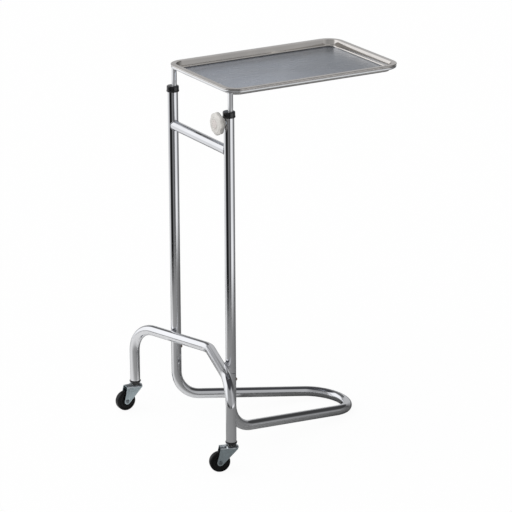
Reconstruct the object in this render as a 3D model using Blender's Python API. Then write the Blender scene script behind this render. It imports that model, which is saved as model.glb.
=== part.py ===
"""Over-bed instrument table: a rimmed tray on two rods that slide in a tubular stand on two casters.

Metres, +Z up, +X towards the tray's free end, +Y to the stand's left. The origin lies on the floor, in
the middle of the stand's outer box. The clamp knob is on the right-hand post.
"""

import math

import bmesh
import bpy
from mathutils import Matrix, Vector

# Fits
GAP = 0.0003
RUNNING = 0.00035

# Tray and its frame
TRAY_LENGTH = 0.486
TRAY_WIDTH = 0.321
TRAY_CORNER = 0.0425
TRAY_DEPTH = 0.018
TRAY_TOP = 0.9193
TRAY_SHEET = 0.001
TRAY_REAR = -0.0101
RIM_WIDTH = 0.0122
RIM_BEAD = 0.003
WALL_DRAFT = 0.003
FLOOR_RADIUS = 0.005
FRAME_ROD = 0.00375
FRAME_INSET = 0.0046

# Posts, rods and the parts in them
TUBE_RADIUS = 0.0127
TUBE_WALL = 0.0015
POST_SPACING = 0.2763
POST_LOW = 0.206
POST_TOP = 0.8595
ROD_RADIUS = 0.00635
ROD_FORWARD = 0.0043
ROD_LOW = 0.300
GUIDE_HEIGHT = 0.024
GUIDE_TENON = 0.0045
CAP_RADIUS = 0.01575
CAP_LOW = 0.8485
CAP_TOP = 0.8635
CROSSBAR_RADIUS = 0.012
CROSSBAR_HEIGHT = 0.7645
COUPLER_LOW = 0.172
COUPLER_TOP = 0.245
COUPLER_BORE = 0.008
SCREW_HEIGHT = 0.1855
SCREW_RADIUS = 0.0023
SCREW_HEAD = 0.0042
SCREW_HEAD_LENGTH = 0.0035

# Base loop: two uprights and a tapered U in a plane that slopes down to the floor
BASE_CORNER_HEIGHT = 0.0604
BASE_REAR_BEND = 0.068
BASE_REACH = 0.4026
BASE_FRONT_CORNER = 0.0692
BASE_FRONT_BEND = 0.0783

# Caster arch: a V in plan behind the posts, with both ends bent down
ARCH_HEIGHT = 0.2229
ARCH_APEX = 0.01735
ARCH_LEG_BACK = 0.0615
ARCH_LEG_SIDE = 0.2456
ARCH_APEX_BEND = 0.045
ARCH_LEG_BEND = 0.0677
LEG_LOW = 0.0750

# Casters
WHEEL_RADIUS = 0.0254
WHEEL_WIDTH = 0.0175
WHEEL_TRAIL = 0.029
SWIVEL = {"left": 0.0, "right": math.radians(-17.5)}
AXLE_RADIUS = 0.003
AXLE_HEAD = 0.0052
AXLE_HEAD_LENGTH = 0.0018
BUSH_RADIUS = 0.0058
FORK_INNER = 0.010
FORK_SHEET = 0.0018
FORK_END_RADIUS = 0.008
FORK_SHOULDER = 0.0585
FORK_ROUND = 0.0065
FORK_TOP = FORK_SHOULDER + FORK_ROUND
FORK_REAR = -0.0287
FORK_FRONT = 0.0145
DOME_RADIUS = 0.0180
DOME_LOW = 0.0590
DOME_TOP = 0.0660
DOME_MOUTH = 0.0112
STEM_RADIUS = 0.005
STEM_HEAD = 0.0075
STEM_TOP = 0.108
RACEWAY_LOW = 0.0595
SOCKET_FLANGE = 0.0145
SOCKET_NECK = 0.0118
SOCKET_LOW = 0.0665
SOCKET_TOP = 0.115

# Clamp, on an axis that points rearwards from the right-hand post
CLAMP_HEIGHT = 0.837
STUD_RADIUS = 0.003
INSERT_RADIUS = 0.005
KNOB_RADIUS = 0.0270
KNOB_LOBE = 0.0013
KNOB_LOBES = 8
KNOB_FACE = 0.040
KNOB_RECESS = 0.0115

# Mesh resolution
TUBE_SIDES = 16
ROUND_SIDES = 20
BEND_STEP = math.radians(12)

# Places that follow from the sizes above
REAR_REACH = ARCH_LEG_BACK + WHEEL_TRAIL + WHEEL_RADIUS
FRONT_REACH = TRAY_REAR + TRAY_LENGTH
POST_X = (REAR_REACH - FRONT_REACH) / 2
HALF_SPACING = POST_SPACING / 2
TUBE_BORE = TUBE_RADIUS - TUBE_WALL
TRAY_MIDDLE = POST_X + TRAY_REAR + TRAY_LENGTH / 2
FRAME_HEIGHT = TRAY_TOP - RIM_BEAD - GAP - FRAME_ROD
ROD_TOP = FRAME_HEIGHT - FRAME_ROD - GAP
SIDES = {"left": 1, "right": -1}

# Colour, roughness and metallic value of each finish
FINISHES = {
    "satin steel": ((0.62, 0.63, 0.65), 0.35, 1.0),
    "chrome": ((0.78, 0.79, 0.80), 0.08, 1.0),
    "zinc": ((0.55, 0.61, 0.63), 0.32, 1.0),
    "brass": ((0.72, 0.55, 0.28), 0.35, 1.0),
    "brown screw": ((0.42, 0.33, 0.26), 0.45, 1.0),
    "black plastic": ((0.012, 0.012, 0.013), 0.28, 0.0),
    "black rubber": ((0.014, 0.014, 0.015), 0.45, 0.0),
    "nylon": ((0.72, 0.71, 0.67), 0.5, 0.0),
    "grey plastic": ((0.60, 0.59, 0.56), 0.42, 0.0),
}


def clear_scene():
    for obj in list(bpy.data.objects):
        bpy.data.objects.remove(obj, do_unlink=True)


def make_material(name, finish):
    colour, roughness, metallic = FINISHES[finish]
    material = bpy.data.materials.new(name)
    material.use_nodes = True
    shader = material.node_tree.nodes["Principled BSDF"]
    shader.inputs["Base Color"].default_value = (*colour, 1.0)
    shader.inputs["Roughness"].default_value = roughness
    shader.inputs["Metallic"].default_value = metallic
    return material


def add_piece(name, bm, finish, place=(0, 0, 0), parent=None):
    """Turn a bmesh into a named object with its own material."""
    bmesh.ops.recalc_face_normals(bm, faces=bm.faces)
    mesh = bpy.data.meshes.new(name)
    bm.to_mesh(mesh)
    bm.free()
    mesh.shade_smooth()
    mesh.set_sharp_from_angle(angle=math.radians(40))
    mesh.materials.append(make_material(name, finish))
    obj = bpy.data.objects.new(name, mesh)
    bpy.context.scene.collection.objects.link(obj)
    obj.location = place
    obj.parent = parent
    return obj


def add_axis(name, place, parent=None):
    """Empty on a joint's axis."""
    axis = bpy.data.objects.new(name, None)
    bpy.context.scene.collection.objects.link(axis)
    axis.empty_display_size = 0.02
    axis.location = place
    axis.parent = parent
    return axis


def add_tool(name, bm, place=(0, 0, 0), parent=None):
    """Hidden object that a Boolean modifier uses."""
    bmesh.ops.recalc_face_normals(bm, faces=bm.faces)
    mesh = bpy.data.meshes.new(name)
    bm.to_mesh(mesh)
    bm.free()
    tool = bpy.data.objects.new(name, mesh)
    bpy.context.scene.collection.objects.link(tool)
    tool.location = place
    tool.parent = parent
    tool.hide_render = True
    tool.display_type = "WIRE"
    return tool


def combine(piece, tool, operation="DIFFERENCE"):
    modifier = piece.modifiers.new(tool.name, "BOOLEAN")
    modifier.operation = operation
    modifier.solver = "EXACT"
    modifier.object = tool


def loft(rings, closed=False):
    """Skin a row of point rings, with flat ends or joined end to end."""
    bm = bmesh.new()
    rows = [[bm.verts.new(point) for point in ring] for ring in rings]
    pairs = list(zip(rows, rows[1:]))
    if closed:
        pairs.append((rows[-1], rows[0]))
    for low, high in pairs:
        for i in range(len(low)):
            j = (i + 1) % len(low)
            bm.faces.new((low[i], low[j], high[j], high[i]))
    if not closed:
        bm.faces.new(list(reversed(rows[0])))
        bm.faces.new(rows[-1])
    return bm


def turned(profile, sides=ROUND_SIDES, bored=False):
    """Solid of revolution about Z from (radius, height) points; a bored one is a closed ring."""
    rings = []
    for radius, height in profile:
        angles = [2 * math.pi * i / sides for i in range(sides)]
        rings.append([Vector((radius * math.cos(a), radius * math.sin(a), height)) for a in angles])
    return loft(rings, closed=bored)


def rod(radius, low, high, sides=ROUND_SIDES):
    return turned([(radius, low), (radius, high)], sides)


def aim(bm, direction):
    """Turn a mesh made along +Z so that it points along the direction."""
    turn = Vector((0, 0, 1)).rotation_difference(Vector(direction))
    bmesh.ops.rotate(bm, verts=bm.verts, matrix=turn.to_matrix(), cent=(0, 0, 0))
    return bm


def rounded_path(corners, radii):
    """Polyline through the corners, each inner one replaced by an arc of its radius."""
    path = [corners[0]]
    for before, corner, after, radius in zip(corners, corners[1:], corners[2:], radii):
        to_before = (before - corner).normalized()
        to_after = (after - corner).normalized()
        half = to_before.angle(to_after) / 2
        centre = corner + (to_before + to_after).normalized() * radius / math.sin(half)
        start = corner + to_before * radius / math.tan(half) - centre
        end = corner + to_after * radius / math.tan(half) - centre
        turn = start.angle(end)
        count = max(2, math.ceil(turn / BEND_STEP))
        for i in range(count + 1):
            path.append(centre + Matrix.Rotation(turn * i / count, 3, start.cross(end)) @ start)
    path.append(corners[-1])
    return path


def tube_rings(path, radius, sides, closed=False):
    """Circles around the points of a path, carried along it without twist."""
    rings = []
    count = len(path)
    across = None
    for i, centre in enumerate(path):
        before = path[(i - 1) % count] if closed or i else centre
        after = path[(i + 1) % count] if closed or i < count - 1 else centre
        along = (after - before).normalized()
        if across is None:
            across = along.orthogonal()
        across = (across - along * across.dot(along)).normalized()
        other = along.cross(across)
        angles = [2 * math.pi * k / sides for k in range(sides)]
        rings.append([centre + radius * (across * math.cos(a) + other * math.sin(a)) for a in angles])
    return rings


def tube(path, radius, wall, sides=TUBE_SIDES):
    """Open-ended tube along a path."""
    outer = tube_rings(path, radius, sides)
    inner = tube_rings(path, radius - wall, sides)
    return loft(outer + inner[::-1], closed=True)


def rounded_rectangle(length, width, radius, inset, height):
    """Ring of points around a rectangle with round corners, moved inwards by the inset."""
    points = []
    steps = 6
    for quarter, (sx, sy) in enumerate(((1, 1), (-1, 1), (-1, -1), (1, -1))):
        centre = Vector((sx * (length / 2 - radius), sy * (width / 2 - radius), height))
        for i in range(steps + 1):
            angle = math.pi / 2 * (quarter + i / steps)
            points.append(centre + (radius - inset) * Vector((math.cos(angle), math.sin(angle), 0)))
    return points


def extruded(outline, low, high):
    """Prism on a flat outline of (x, y) points."""
    return loft([[Vector((x, y, height)) for x, y in outline] for height in (low, high)])


def hexagon(radius, low, high):
    return turned([(radius, low), (radius, high)], sides=6)


def tray_ring(inset, height):
    return rounded_rectangle(TRAY_LENGTH, TRAY_WIDTH, TRAY_CORNER, inset, height)


def add_tray(parent):
    """Sheet dish: floor, drafted wall, flange and an edge rolled down into a bead."""
    inner_wall = RIM_WIDTH + TRAY_SHEET
    floor_inset = inner_wall + WALL_DRAFT + FLOOR_RADIUS
    floor_top = -TRAY_DEPTH
    bead = RIM_BEAD / 2
    corner = FLOOR_RADIUS
    rings = [tray_ring(floor_inset, floor_top)]
    for angle in (30, 60):
        lift = corner * (1 - math.cos(math.radians(angle)))
        rings.append(tray_ring(floor_inset - corner * math.sin(math.radians(angle)), floor_top + lift))
    rings.append(tray_ring(inner_wall + WALL_DRAFT, floor_top + corner))
    rings.append(tray_ring(inner_wall + 0.0006, -0.0016))
    rings.append(tray_ring(inner_wall - 0.0010, 0.0))
    for angle in (90, 45, 0, -45, -90):
        turn = math.radians(angle)
        rings.append(tray_ring(bead - bead * math.cos(turn), -bead + bead * math.sin(turn)))
    rings.append(tray_ring(RIM_BEAD, -RIM_BEAD))
    rings.append(tray_ring(RIM_BEAD + 0.0008, -TRAY_SHEET))
    rings.append(tray_ring(RIM_WIDTH - 0.0010, -TRAY_SHEET))
    rings.append(tray_ring(RIM_WIDTH, -0.0022))
    rings.append(tray_ring(RIM_WIDTH + WALL_DRAFT, floor_top + corner))
    for angle in (60, 30):
        lift = (corner + TRAY_SHEET) * (1 - math.cos(math.radians(angle))) - TRAY_SHEET
        inset = floor_inset - (corner + TRAY_SHEET) * math.sin(math.radians(angle))
        rings.append(tray_ring(inset, floor_top + lift))
    rings.append(tray_ring(floor_inset, floor_top - TRAY_SHEET))
    add_piece("tray", loft(rings), "satin steel", (TRAY_MIDDLE, 0, TRAY_TOP), parent)


def add_tray_frame(parent):
    """Round-rod ring that the tray's rim rests on."""
    path = rounded_rectangle(TRAY_LENGTH, TRAY_WIDTH, TRAY_CORNER, FRAME_INSET, 0)
    bm = loft(tube_rings(path, FRAME_ROD, 10, closed=True), closed=True)
    add_piece("tray_frame", bm, "chrome", (TRAY_MIDDLE, 0, FRAME_HEIGHT), parent)


def add_rod(name, side, parent):
    """Height rod with a turned-down foot; its top meets the tray frame's corner from below."""
    shoulder = ROD_LOW + GUIDE_HEIGHT + 2 * GAP
    profile = [
        (GUIDE_TENON, ROD_LOW),
        (GUIDE_TENON, shoulder),
        (ROD_RADIUS, shoulder),
        (ROD_RADIUS, ROD_TOP),
    ]
    place = (POST_X + ROD_FORWARD, side * HALF_SPACING, 0)
    add_piece(f"rod_{name}", turned(profile, TUBE_SIDES), "chrome", place, parent)


def add_rod_guide(name, side, parent):
    """Plastic foot that keeps the rod parallel to the post."""
    outside = turned([(TUBE_BORE - GAP, 0), (TUBE_BORE - GAP, GUIDE_HEIGHT)], TUBE_SIDES)
    place = (POST_X, side * HALF_SPACING, ROD_LOW + GAP)
    piece = add_piece(f"rod_guide_{name}", outside, "nylon", place, parent)
    bore_place = (POST_X + ROD_FORWARD, side * HALF_SPACING, ROD_LOW)
    bore = add_tool(f"cutter_guide_{name}", rod(GUIDE_TENON + GAP, -0.01, 0.04, TUBE_SIDES), bore_place, parent)
    combine(piece, bore)


def add_post(name, side):
    path = [Vector((0, 0, POST_LOW + GAP)), Vector((0, 0, POST_TOP))]
    place = (POST_X, side * HALF_SPACING, 0)
    return add_piece(f"post_{name}", tube(path, TUBE_RADIUS, TUBE_WALL), "chrome", place)


def add_post_cap(name, side):
    """Collar over the post's end, with an off-centre hole for the rod."""
    skirt = TUBE_RADIUS + GAP
    profile = [
        (skirt, POST_TOP + GAP),
        (skirt, CAP_LOW),
        (CAP_RADIUS - 0.0012, CAP_LOW),
        (CAP_RADIUS, CAP_LOW + 0.0012),
        (CAP_RADIUS, CAP_TOP - 0.0015),
        (CAP_RADIUS - 0.0015, CAP_TOP),
    ]
    place = (POST_X, side * HALF_SPACING, 0)
    piece = add_piece(f"post_cap_{name}", turned(profile), "black plastic", place)
    hole = add_tool(
        f"cutter_cap_{name}",
        rod(ROD_RADIUS + RUNNING, POST_TOP - 0.01, CAP_TOP + 0.01),
        (POST_X + ROD_FORWARD, side * HALF_SPACING, 0),
    )
    combine(piece, hole)


def add_crossbar():
    """Tube between the posts, its ends cut to their curve."""
    path = [Vector((0, side * HALF_SPACING, 0)) for side in (-1, 1)]
    place = (POST_X, 0, CROSSBAR_HEIGHT)
    piece = add_piece("crossbar", tube(path, CROSSBAR_RADIUS, TUBE_WALL), "chrome", place)
    for name, side in SIDES.items():
        saddle = rod(TUBE_RADIUS + GAP, -0.03, 0.03, TUBE_SIDES * 2)
        cutter = add_tool(f"cutter_crossbar_{name}", saddle, (POST_X, side * HALF_SPACING, CROSSBAR_HEIGHT))
        combine(piece, cutter)


def add_coupler(name, side):
    """Sleeve inside the joint of post and base, and the screw that holds it."""
    radius = TUBE_BORE - GAP
    profile = [
        (COUPLER_BORE, COUPLER_LOW),
        (radius - 0.001, COUPLER_LOW),
        (radius, COUPLER_LOW + 0.001),
        (radius, COUPLER_TOP - 0.001),
        (radius - 0.001, COUPLER_TOP),
        (COUPLER_BORE, COUPLER_TOP),
    ]
    place = (POST_X, side * HALF_SPACING, 0)
    sleeve = add_piece(f"coupler_{name}", turned(profile, TUBE_SIDES, bored=True), "zinc", place)
    axis = (POST_X, side * HALF_SPACING, SCREW_HEIGHT)
    hole = aim(rod(SCREW_RADIUS + GAP, 0.004, 0.03, 12), (1, 0, 0))
    combine(sleeve, add_tool(f"cutter_coupler_{name}", hole, axis))
    head = TUBE_RADIUS + GAP
    screw = turned(
        [
            (SCREW_RADIUS, COUPLER_BORE + 0.001),
            (SCREW_RADIUS, head),
            (SCREW_HEAD, head),
            (SCREW_HEAD, head + SCREW_HEAD_LENGTH - 0.001),
            (SCREW_HEAD - 0.0012, head + SCREW_HEAD_LENGTH),
        ],
        sides=12,
    )
    add_piece(f"coupler_screw_{name}", aim(screw, (1, 0, 0)), "brown screw", axis)


def base_plane(x, y):
    """Point on the base loop's sloping plane, from distances to the post line and the middle."""
    slope = (TUBE_RADIUS - BASE_CORNER_HEIGHT) / BASE_REACH
    return Vector((x, y, BASE_CORNER_HEIGHT + slope * x))


def base_path():
    corners = [
        Vector((0, HALF_SPACING, POST_LOW - GAP)),
        base_plane(0, HALF_SPACING),
        base_plane(BASE_REACH, BASE_FRONT_CORNER),
        base_plane(BASE_REACH, -BASE_FRONT_CORNER),
        base_plane(0, -HALF_SPACING),
        Vector((0, -HALF_SPACING, POST_LOW - GAP)),
    ]
    return rounded_path(corners, [BASE_REAR_BEND, BASE_FRONT_BEND, BASE_FRONT_BEND, BASE_REAR_BEND])


def add_base():
    """Base loop, drilled for the coupler screws."""
    piece = add_piece("base_tube", tube(base_path(), TUBE_RADIUS, TUBE_WALL), "chrome", (POST_X, 0, 0))
    for name, side in SIDES.items():
        hole = aim(rod(SCREW_RADIUS + GAP, 0.006, 0.03, 12), (1, 0, 0))
        place = (POST_X, side * HALF_SPACING, SCREW_HEIGHT)
        combine(piece, add_tool(f"cutter_base_{name}", hole, place))


def add_arch():
    """Tube behind the posts, bent down at both ends into the caster legs."""
    corners = [
        Vector((-ARCH_LEG_BACK, ARCH_LEG_SIDE, LEG_LOW)),
        Vector((-ARCH_LEG_BACK, ARCH_LEG_SIDE, ARCH_HEIGHT)),
        Vector((ARCH_APEX, 0, ARCH_HEIGHT)),
        Vector((-ARCH_LEG_BACK, -ARCH_LEG_SIDE, ARCH_HEIGHT)),
        Vector((-ARCH_LEG_BACK, -ARCH_LEG_SIDE, LEG_LOW)),
    ]
    path = rounded_path(corners, [ARCH_LEG_BEND, ARCH_APEX_BEND, ARCH_LEG_BEND])
    add_piece("caster_arch", tube(path, TUBE_RADIUS, TUBE_WALL), "chrome", (POST_X, 0, 0))


def add_caster_mount(name, place):
    """What stays still on a leg: socket, stem, and the two races that the fork's crown turns between."""
    bore = STEM_RADIUS + GAP
    flange_top = LEG_LOW - GAP
    flange_low = flange_top - 0.004
    socket = [
        (bore, SOCKET_LOW),
        (SOCKET_NECK, SOCKET_LOW),
        (SOCKET_NECK + 0.0004, flange_low),
        (SOCKET_FLANGE - 0.001, flange_low),
        (SOCKET_FLANGE, flange_low + 0.0015),
        (SOCKET_FLANGE, flange_top),
        (TUBE_BORE - GAP, flange_top),
        (TUBE_BORE - GAP, SOCKET_TOP - 0.002),
        (TUBE_BORE - GAP - 0.002, SOCKET_TOP),
        (bore, SOCKET_TOP),
    ]
    add_piece(f"caster_socket_{name}", turned(socket, TUBE_SIDES, bored=True), "black plastic", place)
    head_top = RACEWAY_LOW - GAP
    stem = [
        (STEM_HEAD - 0.001, head_top - 0.0022),
        (STEM_HEAD, head_top - 0.0012),
        (STEM_HEAD, head_top),
        (STEM_RADIUS, head_top),
        (STEM_RADIUS, STEM_TOP - 0.001),
        (STEM_RADIUS - 0.001, STEM_TOP),
    ]
    add_piece(f"caster_stem_{name}", turned(stem, TUBE_SIDES), "zinc", place)
    cup_top = FORK_TOP - FORK_SHEET - RUNNING
    cup = [(bore, RACEWAY_LOW), (0.0092, RACEWAY_LOW), (0.0087, 0.0610), (0.0066, cup_top), (bore, cup_top)]
    add_piece(f"caster_raceway_{name}", turned(cup, TUBE_SIDES, bored=True), "zinc", place)
    low = FORK_TOP + RUNNING
    high = SOCKET_LOW - GAP
    ring = [(0.0062, low), (0.0105, low), (0.0105, high), (0.0062, high)]
    add_piece(f"caster_bearing_{name}", turned(ring, TUBE_SIDES, bored=True), "nylon", place)


def fork_outline():
    """Side view of the fork: crown on the right, round lower end about the axle."""
    end = Vector((-WHEEL_TRAIL, WHEEL_RADIUS))
    front_low = Vector((FORK_FRONT, FORK_SHOULDER - 0.0005))
    back_low = Vector((FORK_REAR, FORK_SHOULDER))
    to_front = front_low - end
    to_back = back_low - end
    start = math.atan2(to_front.y, to_front.x) - math.acos(FORK_END_RADIUS / to_front.length)
    stop = math.atan2(to_back.y, to_back.x) + math.acos(FORK_END_RADIUS / to_back.length) - 2 * math.pi
    outline = [(FORK_REAR, FORK_TOP + 0.01), (FORK_FRONT, FORK_TOP + 0.01), tuple(front_low)]
    steps = 10
    for i in range(steps + 1):
        angle = start + (stop - start) * i / steps
        spot = end + FORK_END_RADIUS * Vector((math.cos(angle), math.sin(angle)))
        outline.append(tuple(spot))
    outline.append(tuple(back_low))
    return outline


def shoulder(radius, side):
    """Quarter circle from a cheek up to the crown, on one side of the channel."""
    middle = FORK_INNER + FORK_SHEET - FORK_ROUND
    points = []
    for i in range(5):
        angle = math.pi / 2 * i / 4
        points.append((side * (middle + radius * math.cos(angle)), FORK_SHOULDER + radius * math.sin(angle)))
    return points


def fork_section():
    """Cross-section of the fork's channel: two cheeks joined by rounded shoulders and a crown."""
    outer = FORK_INNER + FORK_SHEET
    bend = FORK_ROUND - FORK_SHEET
    outside = [(outer, 0.0)] + shoulder(FORK_ROUND, 1) + shoulder(FORK_ROUND, -1)[::-1] + [(-outer, 0.0)]
    inside = [(-FORK_INNER, 0.0)] + shoulder(bend, -1) + shoulder(bend, 1)[::-1] + [(FORK_INNER, 0.0)]
    return outside + inside


def add_fork(name, swivel):
    """Pressed fork: a channel trimmed to its side view, and the dome round the stem."""
    channel = loft([[Vector((x, y, z)) for y, z in fork_section()] for x in (-0.08, 0.05)])
    piece = add_piece(f"caster_fork_{name}", channel, "zinc", parent=swivel)
    side = extruded(fork_outline(), -0.05, 0.05)
    bmesh.ops.rotate(side, verts=side.verts, matrix=Matrix.Rotation(math.pi / 2, 3, "X"), cent=(0, 0, 0))
    combine(piece, add_tool(f"guide_side_{name}", side, parent=swivel), "INTERSECT")
    dome = [
        (DOME_MOUTH, DOME_TOP - 0.0016),
        (0.0146, DOME_TOP - 0.0030),
        (DOME_RADIUS - 0.0016, DOME_LOW + 0.0020),
        (DOME_RADIUS - 0.0016, DOME_LOW),
        (DOME_RADIUS, DOME_LOW),
        (DOME_RADIUS, DOME_LOW + 0.0025),
        (0.0172, DOME_LOW + 0.0039),
        (0.0154, DOME_TOP - 0.0014),
        (0.0126, DOME_TOP),
        (DOME_MOUTH, DOME_TOP),
    ]
    combine(piece, add_tool(f"guide_dome_{name}", turned(dome, 24, bored=True), parent=swivel), "UNION")
    hole = rod(STEM_RADIUS + RUNNING, FORK_TOP - 0.01, FORK_TOP + 0.01, TUBE_SIDES)
    combine(piece, add_tool(f"cutter_crown_{name}", hole, parent=swivel))
    axle_hole = aim(rod(AXLE_RADIUS + GAP, -0.03, 0.03, 12), (0, 1, 0))
    place = (-WHEEL_TRAIL, 0, WHEEL_RADIUS)
    combine(piece, add_tool(f"cutter_axle_{name}", axle_hole, place, swivel))


def add_axle(name, axle):
    """Axle bolt with its head on the right, the nut on the left and the bush between the cheeks."""
    outside = FORK_INNER + FORK_SHEET + GAP
    bolt = [
        (AXLE_HEAD - 0.0012, -outside - AXLE_HEAD_LENGTH),
        (AXLE_HEAD, -outside - AXLE_HEAD_LENGTH + 0.0008),
        (AXLE_HEAD, -outside),
        (AXLE_RADIUS, -outside),
        (AXLE_RADIUS, outside + 0.004),
    ]
    add_piece(f"caster_axle_{name}", aim(turned(bolt, TUBE_SIDES), (0, 1, 0)), "zinc", parent=axle)
    nut = aim(hexagon(AXLE_HEAD, outside, outside + 0.0028), (0, 1, 0))
    piece = add_piece(f"caster_nut_{name}", nut, "zinc", parent=axle)
    bore = aim(rod(AXLE_RADIUS + GAP, outside - 0.01, outside + 0.02, TUBE_SIDES), (0, 1, 0))
    combine(piece, add_tool(f"cutter_nut_{name}", bore, parent=axle))
    half = FORK_INNER - GAP
    inner = AXLE_RADIUS + GAP
    bush = [(inner, -half), (BUSH_RADIUS, -half), (BUSH_RADIUS, half), (inner, half)]
    bm = aim(turned(bush, TUBE_SIDES, bored=True), (0, 1, 0))
    add_piece(f"caster_bush_{name}", bm, "nylon", parent=axle)


def add_wheel(name, axle):
    """Moulded wheel: rounded tread, recessed flanks and a hub as wide as the fork allows."""
    bore = BUSH_RADIUS + RUNNING
    half = WHEEL_WIDTH / 2
    hub = FORK_INNER - 0.0006
    side = [(bore, hub), (0.0095, hub), (0.0098, half - 0.0018), (0.0205, half - 0.0018), (0.0212, half)]
    tread = [(0.0235, half), (0.0249, half - 0.0012), (WHEEL_RADIUS, half - 0.0036)]
    profile = side + tread + [(r, -h) for r, h in reversed(side + tread)]
    bm = aim(turned(profile, sides=24, bored=True), (0, 1, 0))
    add_piece(f"caster_wheel_{name}", bm, "black rubber", parent=axle)


def add_caster(name, side):
    leg = (POST_X - ARCH_LEG_BACK, side * ARCH_LEG_SIDE, 0)
    add_caster_mount(name, leg)
    swivel = add_axis(f"axis_swivel_{name}", leg)
    swivel.rotation_euler.z = SWIVEL[name]
    axle = add_axis(f"axis_wheel_{name}", (-WHEEL_TRAIL, 0, WHEEL_RADIUS), swivel)
    add_fork(name, swivel)
    add_axle(name, axle)
    add_wheel(name, axle)


def lobed_ring(radius, lobe, distance):
    """Wavy circle across the clamp's axis."""
    count = KNOB_LOBES * 5
    points = []
    for i in range(count):
        angle = 2 * math.pi * i / count
        reach = radius + lobe * math.cos(KNOB_LOBES * angle)
        points.append(Vector((reach * math.cos(angle), reach * math.sin(angle), distance)))
    return points


def add_clamp(post):
    """Knob, stud and pad on the clamp's axis, and the threaded insert in the post."""
    axis = add_axis("axis_clamp", (POST_X, -HALF_SPACING, CLAMP_HEIGHT))
    rearward = (-1, 0, 0)
    hole = aim(rod(INSERT_RADIUS + GAP, 0.002, 0.03), rearward)
    combine(post, add_tool("cutter_clamp", hole, parent=axis))
    thread = STUD_RADIUS + GAP
    flange = TUBE_RADIUS + GAP
    insert = [
        (thread, 0.0102),
        (INSERT_RADIUS, 0.0102),
        (INSERT_RADIUS, flange),
        (INSERT_RADIUS + 0.0025, flange),
        (INSERT_RADIUS + 0.0025, flange + 0.0010),
        (thread, flange + 0.0010),
    ]
    bm = aim(turned(insert, TUBE_SIDES, bored=True), rearward)
    add_piece("clamp_insert", bm, "zinc", parent=axis)
    rod_back = ROD_RADIUS - ROD_FORWARD
    pad = [(0.0036, rod_back + GAP), (0.0042, rod_back + 0.0009), (0.0042, rod_back + 0.0052)]
    add_piece("clamp_pad", aim(turned(pad, TUBE_SIDES), rearward), "brass", parent=axis)
    stud_start = rod_back + 0.0052 + GAP
    stud_end = KNOB_FACE - 0.006
    add_piece("clamp_stud", aim(rod(STUD_RADIUS, stud_start, stud_end, 12), rearward), "zinc", parent=axis)
    hub_end = flange + 0.0010 + 0.0006
    face = KNOB_FACE
    rings = [
        lobed_ring(KNOB_RECESS, 0, face - 0.0024),
        lobed_ring(KNOB_RECESS, 0, face - 0.0006),
        lobed_ring(KNOB_RECESS + 0.0008, 0, face),
        lobed_ring(KNOB_RADIUS - 0.0050, 0, face),
        lobed_ring(KNOB_RADIUS - 0.0040, 0.0002, face - 0.0012),
        lobed_ring(KNOB_RADIUS - 0.0012, KNOB_LOBE * 0.7, face - 0.0026),
        lobed_ring(KNOB_RADIUS, KNOB_LOBE, face - 0.0050),
        lobed_ring(KNOB_RADIUS, KNOB_LOBE, face - 0.0110),
        lobed_ring(KNOB_RADIUS - 0.0022, KNOB_LOBE, face - 0.0145),
        lobed_ring(0.0140, 0, face - 0.0165),
        lobed_ring(0.0120, 0, face - 0.0200),
        lobed_ring(0.0105, 0, hub_end),
        lobed_ring(thread, 0, hub_end),
        lobed_ring(thread, 0, stud_end + GAP),
    ]
    add_piece("clamp_knob", aim(loft(rings), rearward), "grey plastic", parent=axis)
    low = face - 0.0024 + GAP
    cap = [(KNOB_RECESS - GAP, low), (KNOB_RECESS - GAP, face), (KNOB_RECESS - 0.0020, face + 0.0006)]
    add_piece("clamp_knob_cap", aim(turned(cap), rearward), "grey plastic", parent=axis)


def build():
    clear_scene()
    carriage = add_axis("axis_carriage", (0, 0, 0))
    add_tray(carriage)
    add_tray_frame(carriage)
    posts = {}
    for name, side in SIDES.items():
        add_rod(name, side, carriage)
        add_rod_guide(name, side, carriage)
        posts[name] = add_post(name, side)
        add_post_cap(name, side)
        add_coupler(name, side)
        add_caster(name, side)
    add_crossbar()
    add_base()
    add_arch()
    add_clamp(posts["right"])


build()
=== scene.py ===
"""Looks of the over-bed instrument table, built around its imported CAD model.

Metres, +Z up, +X towards the tray's free end. Every piece takes its place from the CAD nodes' boxes.
"""

import math

import bmesh
import bpy
import numpy as np
from mathutils import Matrix, Vector


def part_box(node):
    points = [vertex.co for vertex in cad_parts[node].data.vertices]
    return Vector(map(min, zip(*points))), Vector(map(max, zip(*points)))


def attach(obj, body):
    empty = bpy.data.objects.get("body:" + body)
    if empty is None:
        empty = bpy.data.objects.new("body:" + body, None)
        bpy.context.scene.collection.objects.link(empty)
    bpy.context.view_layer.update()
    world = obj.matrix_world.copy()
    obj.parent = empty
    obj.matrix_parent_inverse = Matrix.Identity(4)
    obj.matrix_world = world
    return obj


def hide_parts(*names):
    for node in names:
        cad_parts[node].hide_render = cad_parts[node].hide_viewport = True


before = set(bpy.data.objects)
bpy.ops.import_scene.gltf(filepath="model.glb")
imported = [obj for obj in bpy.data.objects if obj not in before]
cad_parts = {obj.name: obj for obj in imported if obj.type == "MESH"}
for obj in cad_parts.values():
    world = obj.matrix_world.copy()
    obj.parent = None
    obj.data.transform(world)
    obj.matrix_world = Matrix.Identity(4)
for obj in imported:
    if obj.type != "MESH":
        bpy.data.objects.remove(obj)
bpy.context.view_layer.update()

SIDES = {"left": 1, "right": -1}
GAP = 0.0003
TUBE_RADIUS = 0.0127
TUBE_WALL = 0.0015
ROD_RADIUS = 0.00635
ROD_FORWARD = 0.0043
RING_SIDES = 48
BEND_STEP = math.radians(2.5)
BASE_REACH = 0.4026


# Places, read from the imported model

def middle(node):
    low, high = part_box(node)
    return (Vector(low) + Vector(high)) / 2


def low_of(node):
    return Vector(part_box(node)[0])


def high_of(node):
    return Vector(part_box(node)[1])


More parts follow.
